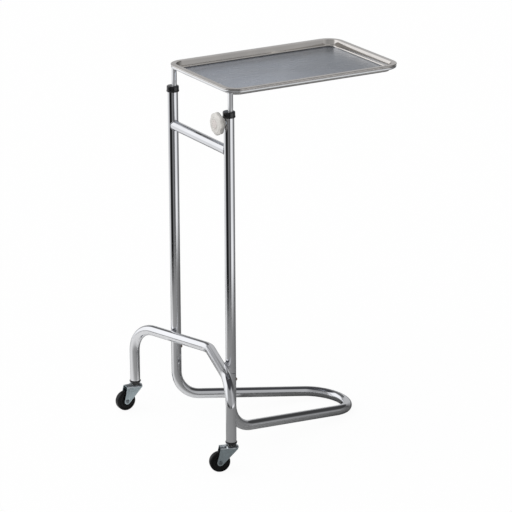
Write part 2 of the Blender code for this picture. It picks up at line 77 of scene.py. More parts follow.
POST = {name: middle(f"post_{name}") for name in SIDES}
POST_X = POST["left"].x
HALF_SPACING = POST["left"].y


# Node helpers

class Nodes:
    """Short way to build a node tree."""

    def __init__(self, owner):
        owner.use_nodes = True
        self.tree = owner.node_tree
        self.tree.nodes.clear()

    def add(self, kind, values=None, **settings):
        node = self.tree.nodes.new(kind)
        for key, value in settings.items():
            setattr(node, key, value)
        for key, value in (values or {}).items():
            self.put(node.inputs[key], value)
        return node

    def put(self, socket, value):
        if isinstance(value, bpy.types.NodeSocket):
            self.tree.links.new(value, socket)
        else:
            socket.default_value = value

    def ramp(self, factor, stops, interpolation="LINEAR"):
        node = self.add("ShaderNodeValToRGB", {"Fac": factor})
        node.color_ramp.interpolation = interpolation
        elements = node.color_ramp.elements
        while len(elements) < len(stops):
            elements.new(0.5)
        for element, (position, colour) in zip(elements, stops):
            element.position = position
            element.color = (*colour, 1.0) if isinstance(colour, tuple) else (colour, colour, colour, 1.0)
        return node.outputs["Color"]

    def math(self, operation, a, b=0.0, c=0.0, clamp=False):
        node = self.add("ShaderNodeMath", {0: a, 1: b, 2: c}, operation=operation, use_clamp=clamp)
        return node.outputs[0]

    def range(self, value, low, high, to_low, to_high, smooth=False):
        kind = "SMOOTHSTEP" if smooth else "LINEAR"
        values = {"Value": value, "From Min": low, "From Max": high, "To Min": to_low, "To Max": to_high}
        return self.add("ShaderNodeMapRange", values, interpolation_type=kind).outputs["Result"]

    def mix(self, factor, a, b, blend="MIX"):
        node = self.add("ShaderNodeMix", data_type="RGBA", blend_type=blend)
        self.put(node.inputs["Factor"], factor)
        for socket, value in ((node.inputs[6], a), (node.inputs[7], b)):
            self.put(socket, (*value, 1.0) if isinstance(value, tuple) else value)
        return node.outputs[2]


class Finish(Nodes):
    """Material with object-space patterns that drive colour, roughness and bump."""

    def __init__(self, name, metallic, **sockets):
        self.material = bpy.data.materials.new(name)
        super().__init__(self.material)
        self.output = self.add("ShaderNodeOutputMaterial")
        self.shader = self.add("ShaderNodeBsdfPrincipled", {"Metallic": metallic, **sockets})
        self.tree.links.new(self.shader.outputs["BSDF"], self.output.inputs["Surface"])
        self.coordinates = self.add("ShaderNodeTexCoord").outputs["Object"]

    def stretched(self, scale):
        return self.add("ShaderNodeMapping", {"Vector": self.coordinates, "Scale": scale}).outputs["Vector"]

    def noise(self, scale, detail=3.0, roughness=0.5, stretch=(1.0, 1.0, 1.0), distortion=0.0):
        values = {
            "Vector": self.stretched(stretch),
            "Scale": scale,
            "Detail": detail,
            "Roughness": roughness,
            "Distortion": distortion,
        }
        return self.add("ShaderNodeTexNoise", values).outputs["Fac"]

    def colour(self, value):
        self.put(self.shader.inputs["Base Color"], value)

    def rough(self, value, low, high, from_low=0.3, from_high=0.7):
        self.put(self.shader.inputs["Roughness"], self.range(value, from_low, from_high, low, high))

    def bump(self, height, distance, strength=1.0):
        values = {"Height": height, "Distance": distance, "Strength": strength}
        self.put(self.shader.inputs["Normal"], self.add("ShaderNodeBump", values).outputs["Normal"])


# Pressed caster fork
FORK_HALF = 0.0118
FORK_SHEET = 0.0018
FORK_END = 0.008
FORK_SHOULDER = 0.0585
FORK_ROUND = 0.0065
FORK_REAR = -0.0287
FORK_FRONT = 0.0145


# Finishes

def chrome(name, stretch, tint=(0.955, 0.96, 0.98), smear=0.014):
    """Bright plate: faint haze, polishing lines along the tube and a little tone drift."""
    finish = Finish(name, 1.0)
    haze = finish.noise(9.0, 2.0, 0.5)
    lines = finish.noise(420.0, 2.0, 0.6, stretch)
    darker = tuple(channel * 0.93 for channel in tint)
    finish.colour(finish.mix(finish.range(haze, 0.35, 0.7, 0.0, 1.0), tint, darker))
    mixed = finish.math("MULTIPLY_ADD", lines, 0.4, haze)
    finish.rough(mixed, smear * 0.6, smear * 1.6, 0.5, 1.0)
    finish.bump(lines, 0.0000008, 0.2)
    return finish.material


def weld_plate():
    """Plated weld bead: rippled, duller and darker in its valleys."""
    finish = Finish("weld_plate", 1.0)
    ripple = finish.noise(900.0, 3.0, 0.6)
    peaks = finish.range(ripple, 0.35, 0.65, 0.0, 1.0)
    finish.colour(finish.mix(peaks, (0.38, 0.38, 0.40), (0.80, 0.80, 0.83)))
    finish.rough(ripple, 0.12, 0.3)
    finish.bump(ripple, 0.0002, 0.5)
    return finish.material


def tray_steel():
    """Satin stainless sheet: fine brushed lines along the tray, soft mottling, faint use marks, and painted
    shade darkening it towards the free end.
    """
    finish = Finish("tray_steel", 0.85, **{"Anisotropic": 0.25})
    brushed = finish.noise(900.0, 2.0, 0.6, (0.03, 1.0, 1.0))
    cloud = finish.noise(14.0, 4.0, 0.55)
    marks = finish.noise(60.0, 6.0, 0.7, (0.5, 1.0, 1.0), 1.5)
    tone = finish.math("MULTIPLY_ADD", brushed, 0.35, cloud)
    along = finish.add("ShaderNodeSeparateXYZ", {"Vector": finish.coordinates}).outputs["X"]
    steel = finish.mix(finish.range(tone, 0.5, 0.95, 0.0, 1.0), (0.66, 0.71, 0.80), (0.74, 0.78, 0.85))
    # Painted shade: the sheet darkens smoothly towards the tray's free end (+X), away from the light at -X.
    shaded_end = finish.mix(1.0, steel, (0.66, 0.66, 0.65), "MULTIPLY")
    finish.colour(finish.mix(finish.range(along, -0.2, 0.24, 0.0, 1.0, True), steel, shaded_end))
    finish.rough(finish.math("MULTIPLY_ADD", marks, 0.5, brushed), 0.24, 0.38, 0.5, 1.0)
    finish.bump(brushed, 0.00001, 0.4)
    return finish.material


def tray_rim():
    """Wall and rim of the tray: brighter and warmer than the floor as a painted reflection of the beige
    backdrop and its shade, with fine buffed lines round it.
    """
    finish = Finish("tray_rim", 1.0)
    buffed = finish.noise(700.0, 2.0, 0.6, (0.2, 0.2, 1.0))
    cloud = finish.noise(18.0, 3.0, 0.5)
    drift = finish.range(cloud, 0.35, 0.7, 0.0, 1.0)
    # Painted reflection and shade: beige tones standing in for the backdrop seen in the wall and rim.
    finish.colour(finish.mix(drift, (0.84, 0.80, 0.755), (0.76, 0.73, 0.70)))
    finish.rough(finish.math("MULTIPLY_ADD", buffed, 0.4, cloud), 0.07, 0.16, 0.5, 1.0)
    finish.bump(buffed, 0.000002, 0.3)
    return finish.material


def zinc(name, tint, low=0.24, high=0.42):
    """Bright zinc plate: soft crystal mottling, with a little blue."""
    finish = Finish(name, 1.0)
    grains = finish.add("ShaderNodeTexVoronoi", {"Vector": finish.coordinates, "Scale": 700.0})
    cloud = finish.noise(90.0, 4.0, 0.6)
    tone = finish.math("MULTIPLY_ADD", grains.outputs["Distance"], 0.35, cloud)
    lighter = tuple(min(1.0, channel * 1.16) for channel in tint)
    finish.colour(finish.mix(finish.range(tone, 0.4, 0.9, 0.0, 1.0), tint, lighter))
    finish.rough(tone, low, high, 0.4, 0.9)
    finish.bump(cloud, 0.00003, 0.5)
    return finish.material


def moulded(name, dark, light, grain, low, high, depth, coat=0.0, gloss=0.5):
    """Moulded plastic or rubber: fine grain with cloudy tone and gloss."""
    sockets = {"Coat Weight": coat, "Coat Roughness": 0.12, "Specular IOR Level": gloss}
    finish = Finish(name, 0.0, **sockets)
    cloud = finish.noise(45.0, 4.0, 0.6)
    fine = finish.noise(grain, 2.0, 0.6)
    finish.colour(finish.mix(finish.range(cloud, 0.35, 0.7, 0.0, 1.0), dark, light))
    finish.rough(finish.math("MULTIPLY_ADD", fine, 0.5, cloud), low, high, 0.5, 1.0)
    finish.bump(fine, depth, 0.5)
    return finish.material


CHROME_UP = chrome("chrome_upright", (1.0, 1.0, 0.02))
CHROME_BENT = chrome("chrome_bent", (0.35, 0.35, 0.35))
CHROME_CROSS = chrome("chrome_cross", (1.0, 0.02, 1.0))
CHROME_ROD = chrome("chrome_rod", (1.0, 1.0, 0.02), (0.94, 0.945, 0.955), 0.016)
WELD = weld_plate()
STEEL = tray_steel()
RIM = tray_rim()
ZINC = zinc("zinc_plate", (0.47, 0.55, 0.58))
# Lighter zinc: the own colour of the small plated parts, and on the forks' crowns a painted highlight.
ZINC_LIGHT_AND_HIGHLIGHT = zinc("zinc_light_and_highlight", (0.72, 0.77, 0.80), 0.14, 0.26)
ZINC_DARK = zinc("zinc_rivet", (0.26, 0.29, 0.31), 0.28, 0.45)
SCREW = zinc("screw_plate", (0.42, 0.33, 0.26), 0.30, 0.48)
BRASS = zinc("pad_brass", (0.70, 0.53, 0.26), 0.28, 0.42)
BLACK_GLOSS = moulded(
    "cap_plastic", (0.004, 0.004, 0.0045), (0.008, 0.008, 0.009), 1800.0, 0.12, 0.22, 0.00001, 0.6,
)
WHEEL_BLACK = moulded(
    "wheel_black", (0.003, 0.003, 0.0033), (0.0065, 0.0065, 0.007), 2600.0, 0.16, 0.28, 0.00003, gloss=0.22,
)
NYLON = moulded("nylon", (0.62, 0.61, 0.57), (0.74, 0.73, 0.69), 1500.0, 0.38, 0.55, 0.00002)
KNOB_GREY = moulded("knob_plastic", (0.52, 0.505, 0.48), (0.60, 0.585, 0.56), 2400.0, 0.34, 0.48, 0.00003)
KNOB_CAP = moulded("knob_cap_plastic", (0.50, 0.465, 0.445), (0.58, 0.54, 0.52), 2400.0, 0.36, 0.5, 0.00003)


# Mesh helpers

def add_piece(name, bm, material, body, nodes=(), place=(0, 0, 0), sharp=35, turn=0.0):
    """Object from a bmesh that rides on a body and stands for the given CAD nodes."""
    bmesh.ops.rotate(bm, verts=bm.verts, matrix=Matrix.Rotation(turn, 3, "Z"), cent=(0, 0, 0))
    bmesh.ops.recalc_face_normals(bm, faces=bm.faces)
    mesh = bpy.data.meshes.new(name)
    bm.to_mesh(mesh)
    bm.free()
    mesh.shade_smooth()
    mesh.set_sharp_from_angle(angle=math.radians(sharp))
    mesh.materials.append(material)
    obj = bpy.data.objects.new(name, mesh)
    bpy.context.scene.collection.objects.link(obj)
    obj.location = place
    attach(obj, body)
    if nodes:
        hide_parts(*nodes)
    return obj


def second_finish(obj, material, chosen):
    """Give another material to the faces that the test picks by centre and normal."""
    obj.data.materials.append(material)
    for face in obj.data.polygons:
        if chosen(face.center, face.normal):
            face.material_index = 1


def loft(rings, closed=False, bm=None):
    """Skin a row of point rings, with flat ends or joined end to end."""
    bm = bm or bmesh.new()
    rows = [[bm.verts.new(point) for point in ring] for ring in rings]
    pairs = list(zip(rows, rows[1:]))
    if closed:
        pairs.append((rows[-1], rows[0]))
    for low, high in pairs:
        for i in range(len(low)):
            j = (i + 1) % len(low)
            bm.faces.new((low[i], low[j], high[j], high[i]))
    if not closed:
        bm.faces.new(list(reversed(rows[0])))
        bm.faces.new(rows[-1])
    return bm


def circle(radius, height, sides=RING_SIDES, shift=0.0):
    angles = [2 * math.pi * i / sides for i in range(sides)]
    return [Vector((shift + radius * math.cos(a), radius * math.sin(a), height)) for a in angles]


def turned(profile, sides=RING_SIDES, bored=False, bm=None):
    """Solid of revolution about Z from (radius, height) points."""
    return loft([circle(radius, height, sides) for radius, height in profile], bored, bm)


def softened(points, radius, steps=4, closed=False):
    """Round the corners of a flat profile by a radius, less where an edge is short."""
    out = []
    count = len(points)
    for i, point in enumerate(points):
        if not closed and i in (0, count - 1):
            out.append(point)
            continue
        here = Vector(point)
        before = Vector(points[i - 1])
        after = Vector(points[(i + 1) % count])
        reach = min(radius, (before - here).length * 0.45, (after - here).length * 0.45)
        start = here + (before - here).normalized() * reach
        end = here + (after - here).normalized() * reach
        for k in range(steps + 1):
            t = k / steps
            spot = start * (1 - t) ** 2 + here * 2 * t * (1 - t) + end * t**2
            out.append(tuple(spot))
    return out


def aim(bm, direction):
    turn = Vector((0, 0, 1)).rotation_difference(Vector(direction))
    bmesh.ops.rotate(bm, verts=bm.verts, matrix=turn.to_matrix(), cent=(0, 0, 0))
    return bm


def rounded_path(corners, radii):
    path = [corners[0]]
    for before, corner, after, radius in zip(corners, corners[1:], corners[2:], radii):
        to_before = (before - corner).normalized()
        to_after = (after - corner).normalized()
        half = to_before.angle(to_after) / 2
        centre = corner + (to_before + to_after).normalized() * radius / math.sin(half)
        start = corner + to_before * radius / math.tan(half) - centre
        end = corner + to_after * radius / math.tan(half) - centre
        turn = start.angle(end)
        count = max(3, math.ceil(turn / BEND_STEP))
        for i in range(count + 1):
            path.append(centre + Matrix.Rotation(turn * i / count, 3, start.cross(end)) @ start)
    path.append(corners[-1])
    return path


def path_frames(path, closed=False):
    """Centre and two cross directions at each point of a path, carried along without twist."""
    frames = []
    count = len(path)
    across = None
    for i, centre in enumerate(path):
        before = path[(i - 1) % count] if closed or i else centre
        after = path[(i + 1) % count] if closed or i < count - 1 else centre
        along = (after - before).normalized()
        if across is None:
            across = along.orthogonal()
        across = (across - along * across.dot(along)).normalized()
        frames.append((centre, along, across, along.cross(across)))
    return frames


def ring_at(frame_at, radius, sides=RING_SIDES, shift=0.0):
    centre, along, across, other = frame_at
    angles = [2 * math.pi * k / sides for k in range(sides)]
    spot = centre + along * shift
    return [spot + radius * (across * math.cos(a) + other * math.sin(a)) for a in angles]


def tube(path, radius, wall):
    """Open-ended tube along a path, its end edges broken by a small chamfer."""
    frames = path_frames(path)
    chamfer = 0.0005
    outer = [ring_at(frame_at, radius) for frame_at in frames]
    outer.insert(1, ring_at(frames[0], radius, shift=chamfer))
    outer.insert(-1, ring_at(frames[-1], radius, shift=-chamfer))
    outer[0] = ring_at(frames[0], radius - chamfer)
    outer[-1] = ring_at(frames[-1], radius - chamfer)
    inner = [ring_at(frame_at, radius - wall) for frame_at in frames]
    return loft(outer + inner[::-1], closed=True)


def loop_rod(path, radius, sides=24, ripple=0.0, waves=0):
    """Closed ring of round rod; a ripple makes it a weld bead."""
    rings = []
    frames = path_frames(path, closed=True)
    for i, frame_at in enumerate(frames):
        swell = 1 + ripple * math.sin(2 * math.pi * waves * i / len(frames))
        rings.append(ring_at(frame_at, radius * swell, sides))
    return loft(rings, closed=True)


def rounded_rectangle(length, width, radius, inset, height, steps=24):
    points = []
    for quarter, (sx, sy) in enumerate(((1, 1), (-1, 1), (-1, -1), (1, -1))):
        centre = Vector((sx * (length / 2 - radius), sy * (width / 2 - radius), height))
        for i in range(steps + 1):
            angle = math.pi / 2 * (quarter + i / steps)
            points.append(centre + (radius - inset) * Vector((math.cos(angle), math.sin(angle), 0)))
    return points


def extruded(outline, low, high):
    return loft([[Vector((x, y, height)) for x, y in outline] for height in (low, high)])


def add_tool(name, bm, place=(0, 0, 0)):
    """Object for a Boolean that is applied at once, removed again by combined."""
    bmesh.ops.recalc_face_normals(bm, faces=bm.faces)
    mesh = bpy.data.meshes.new(name)
    bm.to_mesh(mesh)
    bm.free()
    tool = bpy.data.objects.new(name, mesh)
    bpy.context.scene.collection.objects.link(tool)
    tool.location = place
    return tool


def combined(bm, steps, bevel=0.0):
    """Apply Booleans, then an optional small bevel, and give the result back as a bmesh."""
    base = add_tool("work_base", bm)
    tools = []
    for operation, tool_bm in steps:
        tool = add_tool("work_tool", tool_bm)
        tools.append(tool)
        modifier = base.modifiers.new("cut", "BOOLEAN")
        modifier.operation = operation
        modifier.solver = "EXACT"
        modifier.object = tool
    if bevel:
        modifier = base.modifiers.new("bevel", "BEVEL")
        modifier.width = bevel
        modifier.segments = 3
        modifier.limit_method = "ANGLE"
        modifier.angle_limit = math.radians(40)
    bpy.context.view_layer.update()
    depsgraph = bpy.context.evaluated_depsgraph_get()
    result = bmesh.new()
    result.from_object(base, depsgraph)
    for obj in [base, *tools]:
        bpy.data.objects.remove(obj, do_unlink=True)
    return result


# Stand

def make_posts():
    for name, post in POST.items():
        low, high = low_of(f"post_{name}").z, high_of(f"post_{name}").z
        path = [Vector((post.x, post.y, z)) for z in np.linspace(low, high, 12)]
        bm = tube(path, TUBE_RADIUS, TUBE_WALL)
        add_piece(f"upright_{name}", bm, CHROME_UP, "frame", [f"post_{name}"])


def make_caps():
    """Collar: soft outer edges, a shallow step, and a wiper lip round the rod's off-centre hole."""
    hole = ROD_RADIUS + 0.00035
    for name, post in POST.items():
        low, high = low_of(f"post_cap_{name}").z, high_of(f"post_cap_{name}").z
        radius = (high_of(f"post_cap_{name}").y - low_of(f"post_cap_{name}").y) / 2
        top = high_of(f"post_{name}").z + GAP
        skirt = TUBE_RADIUS + GAP
        outline = [
            (skirt, low),
            (radius - 0.0006, low),
            (radius - 0.0001, low + 0.0009),
            (radius - 0.0001, low + 0.0034),
            (radius - 0.0007, low + 0.0040),
            (radius - 0.0007, high - 0.0016),
            (radius - 0.0022, high - 0.0001),
            (hole + 0.0026, high - 0.0001),
        ]
        rings = [circle(r, z) for r, z in softened(outline, 0.0007)]
        rings[-1] = circle(hole + 0.0018, high - 0.0001, shift=ROD_FORWARD)
        rings.append(circle(hole + 0.0014, high - 0.0006, shift=ROD_FORWARD))
        rings.append(circle(hole + 0.0006, high - 0.0006, shift=ROD_FORWARD))
        rings.append(circle(hole + 0.0001, high - 0.0001, shift=ROD_FORWARD))
        rings.append(circle(hole, high - 0.0004, shift=ROD_FORWARD))
        rings.append(circle(hole, top, shift=ROD_FORWARD))
        rings.append(circle(skirt, top))
        place = (post.x, post.y, 0)
        collar = loft(rings, True)
        add_piece(f"collar_{name}", collar, BLACK_GLOSS, "frame", [f"post_cap_{name}"], place)


def make_crossbar():
    """Tube coped to both posts, with a plated bead round each saddle."""
    radius = (high_of("crossbar").z - low_of("crossbar").z) / 2
    height = middle("crossbar").z

    def saddle(r, angle, clearance):
        x = r * math.cos(angle)
        z = r * math.sin(angle)
        return x, HALF_SPACING - math.sqrt((TUBE_RADIUS + clearance) ** 2 - x**2), z

    angles = [2 * math.pi * i / RING_SIDES for i in range(RING_SIDES)]
    rings = []
    for r, order in ((radius, 1), (radius - TUBE_WALL, -1)):
        for share in np.linspace(-1, 1, 9)[::order]:
            ring = []
            for angle in angles:
                x, y, z = saddle(r, angle, GAP)
                ring.append(Vector((POST_X + x, y * share, height + z)))
            rings.append(ring)
    add_piece("cross_tube", loft(rings, closed=True), CHROME_CROSS, "frame", ["crossbar"])
    for name, side in SIDES.items():
        path = []
        for i in range(96):
            x, y, z = saddle(radius + 0.0002, 2 * math.pi * i / 96, GAP + 0.0006)
            path.append(Vector((POST_X + x, side * y, height + z)))
        bm = loop_rod(path, 0.0011, 12, 0.14, 22)
        add_piece(f"cross_weld_{name}", bm, WELD, "frame")


def base_plane(x, y, corner_height, reach):
    return Vector((POST_X + x, y, corner_height + (TUBE_RADIUS - corner_height) / reach * x))


def make_base():
    """Base loop: two uprights, rear bends, rails that converge and fall, and the front bend."""
    top = high_of("base_tube").z
    reach = BASE_REACH
    corners = [
        Vector((POST_X, HALF_SPACING, top)),
        base_plane(0, HALF_SPACING, 0.0604, reach),
        base_plane(reach, 0.0692, 0.0604, reach),
        base_plane(reach, -0.0692, 0.0604, reach),
        base_plane(0, -HALF_SPACING, 0.0604, reach),
        Vector((POST_X, -HALF_SPACING, top)),
    ]
    path = rounded_path(corners, [0.068, 0.0783, 0.0783, 0.068])
    bm = tube(path, TUBE_RADIUS, TUBE_WALL)
    add_piece("base_loop", bm, CHROME_BENT, "frame", ["base_tube"])


def make_arch():
    """Caster arch, and the bead that joins it to the back of each post."""
    leg = {name: middle(f"caster_socket_{name}") for name in SIDES}
    low = low_of("caster_arch").z
    height = 0.2229
    apex = Vector((POST_X + 0.01735, 0, height))
    corners = [
        Vector((leg["left"].x, leg["left"].y, low)),
        Vector((leg["left"].x, leg["left"].y, height)),
        apex,
        Vector((leg["right"].x, leg["right"].y, height)),
        Vector((leg["right"].x, leg["right"].y, low)),
    ]
    path = rounded_path(corners, [0.0677, 0.045, 0.0677])
    bm = tube(path, TUBE_RADIUS, TUBE_WALL)
    add_piece("arch_tube", bm, CHROME_BENT, "frame", ["caster_arch"])
    for name, side in SIDES.items():
        along = (corners[1 if side > 0 else 3] - apex).normalized()
        out = Vector((-along.y * side, along.x * side, 0))
        joint = POST[name].copy()
        joint.z = height
        centre = joint + out * (TUBE_RADIUS + GAP / 2)
        path = []
        for i in range(80):
            angle = 2 * math.pi * i / 80
            across = math.cos(angle) * 0.0078
            rise = math.sin(angle) * 0.0078
            path.append(centre + along * across + Vector((0, 0, rise)))
        bm = loop_rod(path, 0.0021, 14, 0.12, 17)
        add_piece(f"arch_weld_{name}", bm, WELD, "frame")


def make_screws():
    """Pan-head screws with a cross recess on the front of the base uprights."""
    for name, post in POST.items():
        node = f"coupler_screw_{name}"
        height = middle(node).z
        reach = high_of(node).x - post.x
        seat = TUBE_RADIUS + GAP
        profile = [(0.0021, 0.009), (0.0021, seat), (0.0042, seat)]
        profile += [(0.0042, reach - 0.0016), (0.0026, reach), (0.0, reach)]
        profile = softened(profile[:-1], 0.0009) + [(0.0001, reach)]
        head = turned(profile, 32)
        cuts = []
        for size in ((0.0022, 0.00045), (0.00045, 0.0022)):
            outline = [(-size[0], -size[1]), (size[0], -size[1]), (size[0], size[1]), (-size[0], size[1])]
            cuts.append(("DIFFERENCE", extruded(outline, reach - 0.0011, reach + 0.002)))
        bm = aim(combined(head, cuts), (1, 0, 0))
        add_piece(f"pan_screw_{name}", bm, SCREW, "frame", [node], (post.x, post.y, height))


# Carriage and tray

def make_rods():
    """Height rods with a broken top edge; the plated bead under the tray frame is made with the tray ring."""
    for name, post in POST.items():
        low, high = low_of(f"rod_{name}").z, high_of(f"rod_{name}").z
        foot = high_of(f"rod_guide_{name}").z + GAP
        profile = [(0.0045, low), (0.0045, foot), (ROD_RADIUS, foot)]
        profile += [(ROD_RADIUS, z) for z in np.linspace(foot + 0.01, high - 0.001, 8)]
        profile += [(ROD_RADIUS - 0.0006, high - 0.0001)]
        place = (post.x + ROD_FORWARD, post.y, 0)
        bm = turned(profile)
        add_piece(f"height_rod_{name}", bm, CHROME_ROD, "carriage", [f"rod_{name}"], place)


def make_tray_frame():
    low, high = low_of("tray_frame"), high_of("tray_frame")
    centre = (low + high) / 2
    radius = (high.z - low.z) / 2
    inset = 0.0046
    path = rounded_rectangle(0.486, 0.321, 0.0425, inset, 0)
    place = (centre.x, centre.y, centre.z)
    bm = loop_rod(path, radius, 28)
    add_piece("tray_ring", bm, CHROME_ROD, "carriage", ["tray_frame"], place)
    for name, post in POST.items():
        spot = Vector((post.x + ROD_FORWARD, post.y, high_of(f"rod_{name}").z))
        path = [spot + Vector((p.x, p.y, 0.0002)) for p in circle(ROD_RADIUS - 0.0009, 0, 64)]
        bm = loop_rod(path, 0.0010, 10, 0.12, 19)
        add_piece(f"ring_weld_{name}", bm, WELD, "carriage")


def make_tray():
    """Pressed dish: dished floor edge, drafted wall, rounded shoulder, flange and rolled edge."""
    high = high_of("tray").z
    centre = middle("tray")
    depth = 0.018
    sheet = 0.001
    rim = 0.0122
    bead = 0.0015
    wall = rim + sheet
    draft = 0.003
    corner = 0.005
    floor_inset = wall + draft + corner
    turns = [math.radians(a) for a in range(0, 91, 10)]
    inside = [(floor_inset + 0.012, -depth), (floor_inset + 0.0005, -depth)]
    inside += [(floor_inset - corner * math.sin(a), -depth + corner * (1 - math.cos(a))) for a in turns]
    inside += [(wall + 0.0009, -0.0024)]
    inside += [(wall - 0.0012 * math.sin(a) + 0.0009, -0.0024 + 0.0024 * math.sin(a)) for a in turns[2::2]]
    inside += [(wall - 0.0024, 0.0)]
    edge = [math.radians(a) for a in range(90, -91, -15)]
    inside += [(bead - bead * math.cos(a), -bead + bead * math.sin(a)) for a in edge]
    outside = [(2 * bead, -2 * bead), (2 * bead + 0.0008, -sheet), (rim - 0.0012, -sheet), (rim, -0.0024)]
    outside += [(rim + draft, -depth + corner)]
    outside += [
        (floor_inset - (corner + sheet) * math.sin(a), -depth - sheet + (corner + sheet) * (1 - math.cos(a)))
        for a in turns[::-1]
    ]
    outside += [(floor_inset + 0.012, -depth - sheet)]
    rings = [rounded_rectangle(0.486, 0.321, 0.0425, inset, z) for inset, z in inside + outside]
    place = (centre.x, centre.y, high)
    dish = add_piece("tray_dish", loft(rings), STEEL, "tray", ["tray"], place)
    # Painted reflection and shade: the wall, shoulder and rim, one sheet with the floor, take the warmer
    # tray_rim colour.
    second_finish(dish, RIM, lambda centre, normal: centre.z > 0.0008 - depth)


# Clamp

def lobed(radius, lobe, distance, count=128, lobes=8):
    points = []
    for i in range(count):
        angle = 2 * math.pi * i / count
        reach = radius + lobe * math.cos(lobes * angle)
        points.append(Vector((reach * math.cos(angle), reach * math.sin(angle), distance)))
    return points


def make_knob():
    """Lobed hand knob with a raised face ring, a recessed centre cap, a neck and a plated insert."""
    axis = Vector((POST_X, -HALF_SPACING, middle("clamp_stud").z))
    face = POST_X - low_of("clamp_knob").x
    hub = POST_X - high_of("clamp_knob").x
    radius = 0.0270
    lobe = 0.0013
    recess = 0.0115
    bore = 0.0033
    profile = [
        (recess, 0.0, face - 0.0024),
        (recess, 0.0, face - 0.0007),
        (recess + 0.0003, 0.0, face - 0.0002),
        (recess + 0.0009, 0.0, face),
        (recess + 0.0022, 0.0, face - 0.0001),
        (recess + 0.0030, 0.0, face - 0.0008),
        (recess + 0.0040, 0.0, face - 0.0009),
        (recess + 0.0046, 0.0, face - 0.0002),
        (radius - 0.0068, 0.0, face - 0.0001),
        (radius - 0.0056, 0.0, face - 0.0006),
        (radius - 0.0046, 0.1, face - 0.0016),
        (radius - 0.0034, 0.25, face - 0.0020),
        (radius - 0.0018, 0.5, face - 0.0027),
        (radius - 0.0007, 0.8, face - 0.0038),
        (radius - 0.0001, 1.0, face - 0.0055),
        (radius, 1.0, face - 0.0080),
        (radius - 0.0001, 1.0, face - 0.0105),
        (radius - 0.0008, 0.9, face - 0.0125),
        (radius - 0.0024, 0.7, face - 0.0142),
        (0.0210, 0.4, face - 0.0153),
        (0.0165, 0.1, face - 0.0160),
        (0.0142, 0.0, face - 0.0166),
        (0.0126, 0.0, face - 0.0180),
        (0.0117, 0.0, face - 0.0200),
        (0.0110, 0.0, hub + 0.0006),
        (0.0104, 0.0, hub),
        (bore, 0.0, hub),
        (bore, 0.0, face - 0.0057),
    ]
    rings = [lobed(r, lobe * share, distance) for r, share, distance in profile]
    body = "clamp_knob"
    bm = aim(loft(rings), (-1, 0, 0))
    add_piece("hand_knob", bm, KNOB_GREY, body, ["clamp_knob"], axis)
    low = face - 0.0024 + GAP
    disc = [(recess - GAP, low), (recess - GAP, face - 0.0001), (recess - 0.0018, face + 0.0005)]
    disc = softened(disc, 0.0006) + [(recess - 0.0032, face + 0.0005), (recess - 0.0040, face - 0.0001)]
    disc += [(0.0040, face - 0.0001), (0.0030, face + 0.0002), (0.0001, face + 0.0003)]
    bm = aim(turned(disc), (-1, 0, 0))
    add_piece("knob_centre", bm, KNOB_CAP, body, ["clamp_knob_cap"], axis)
    seat = TUBE_RADIUS + GAP
    insert = [(bore, 0.0102), (0.005, 0.0102), (0.005, seat), (0.0075, seat)]
    insert += [(0.0075, seat + 0.001), (bore, seat + 0.001)]
    bm = aim(turned(softened(insert, 0.0003, 2, True), 40, True), (-1, 0, 0))
    add_piece("clamp_bush", bm, ZINC_LIGHT_AND_HIGHLIGHT, "frame", ["clamp_insert"], axis)


# Casters

def make_mounts(name, leg):
    """Black plug in the leg, and the plated cup that the fork turns on."""
    socket = f"caster_socket_{name}"
    bore = 0.0053
    low = low_of(socket).z
    high = high_of(socket).z
    flange = low_of("caster_arch").z - GAP
    plug_radius = TUBE_RADIUS - TUBE_WALL - GAP
    outline = [
        (bore, low),
        (0.0117, low),
        (0.0121, flange - 0.0040),
        (0.0136, flange - 0.0038),
        (0.0144, flange - 0.0024),
        (0.0144, flange),
        (plug_radius, flange),
        (plug_radius, high - 0.002),
        (plug_radius - 0.002, high),
        (bore, high),
    ]
    bm = turned(softened(outline, 0.0005, 3, True), 48, True)
    add_piece(f"leg_plug_{name}", bm, BLACK_GLOSS, "frame", [socket], leg)
    raceway = f"caster_raceway_{name}"
    top = high_of(raceway).z
    lip = low_of(raceway).z
    outline = [(bore, lip), (0.0090, lip), (0.0086, lip + 0.0015), (0.0065, top), (bore, top)]
    bm = turned(softened(outline, 0.0003, 3, True), 48, True)
    add_piece(f"race_cup_{name}", bm, ZINC_LIGHT_AND_HIGHLIGHT, "frame", [raceway], leg)


def fork_outline(trail, wheel_radius):
    """Side view of the fork: crown in front, straight edges, and a round end about the axle."""
    end = Vector((-trail, wheel_radius))
    front_low = Vector((FORK_FRONT, FORK_SHOULDER - 0.0005))
    back_low = Vector((FORK_REAR, FORK_SHOULDER))
    to_front = front_low - end
    to_back = back_low - end
    start = math.atan2(to_front.y, to_front.x) - math.acos(FORK_END / to_front.length)
    stop = math.atan2(to_back.y, to_back.x) + math.acos(FORK_END / to_back.length) - 2 * math.pi
    above = FORK_SHOULDER + 0.02
    outline = [(FORK_REAR, above), (FORK_FRONT, above), tuple(front_low)]
    for i in range(29):
        angle = start + (stop - start) * i / 28
        outline.append(tuple(end + FORK_END * Vector((math.cos(angle), math.sin(angle)))))
    outline.append(tuple(back_low))
    return outline


def shoulder(radius, side):
    """Quarter circle from a cheek up to the crown, on one side of the channel."""
    middle_y = FORK_HALF - FORK_ROUND
    points = []
    for i in range(13):
        angle = math.pi / 2 * i / 12
        across = side * (middle_y + radius * math.cos(angle))
        points.append((across, FORK_SHOULDER + radius * math.sin(angle)))
    return points


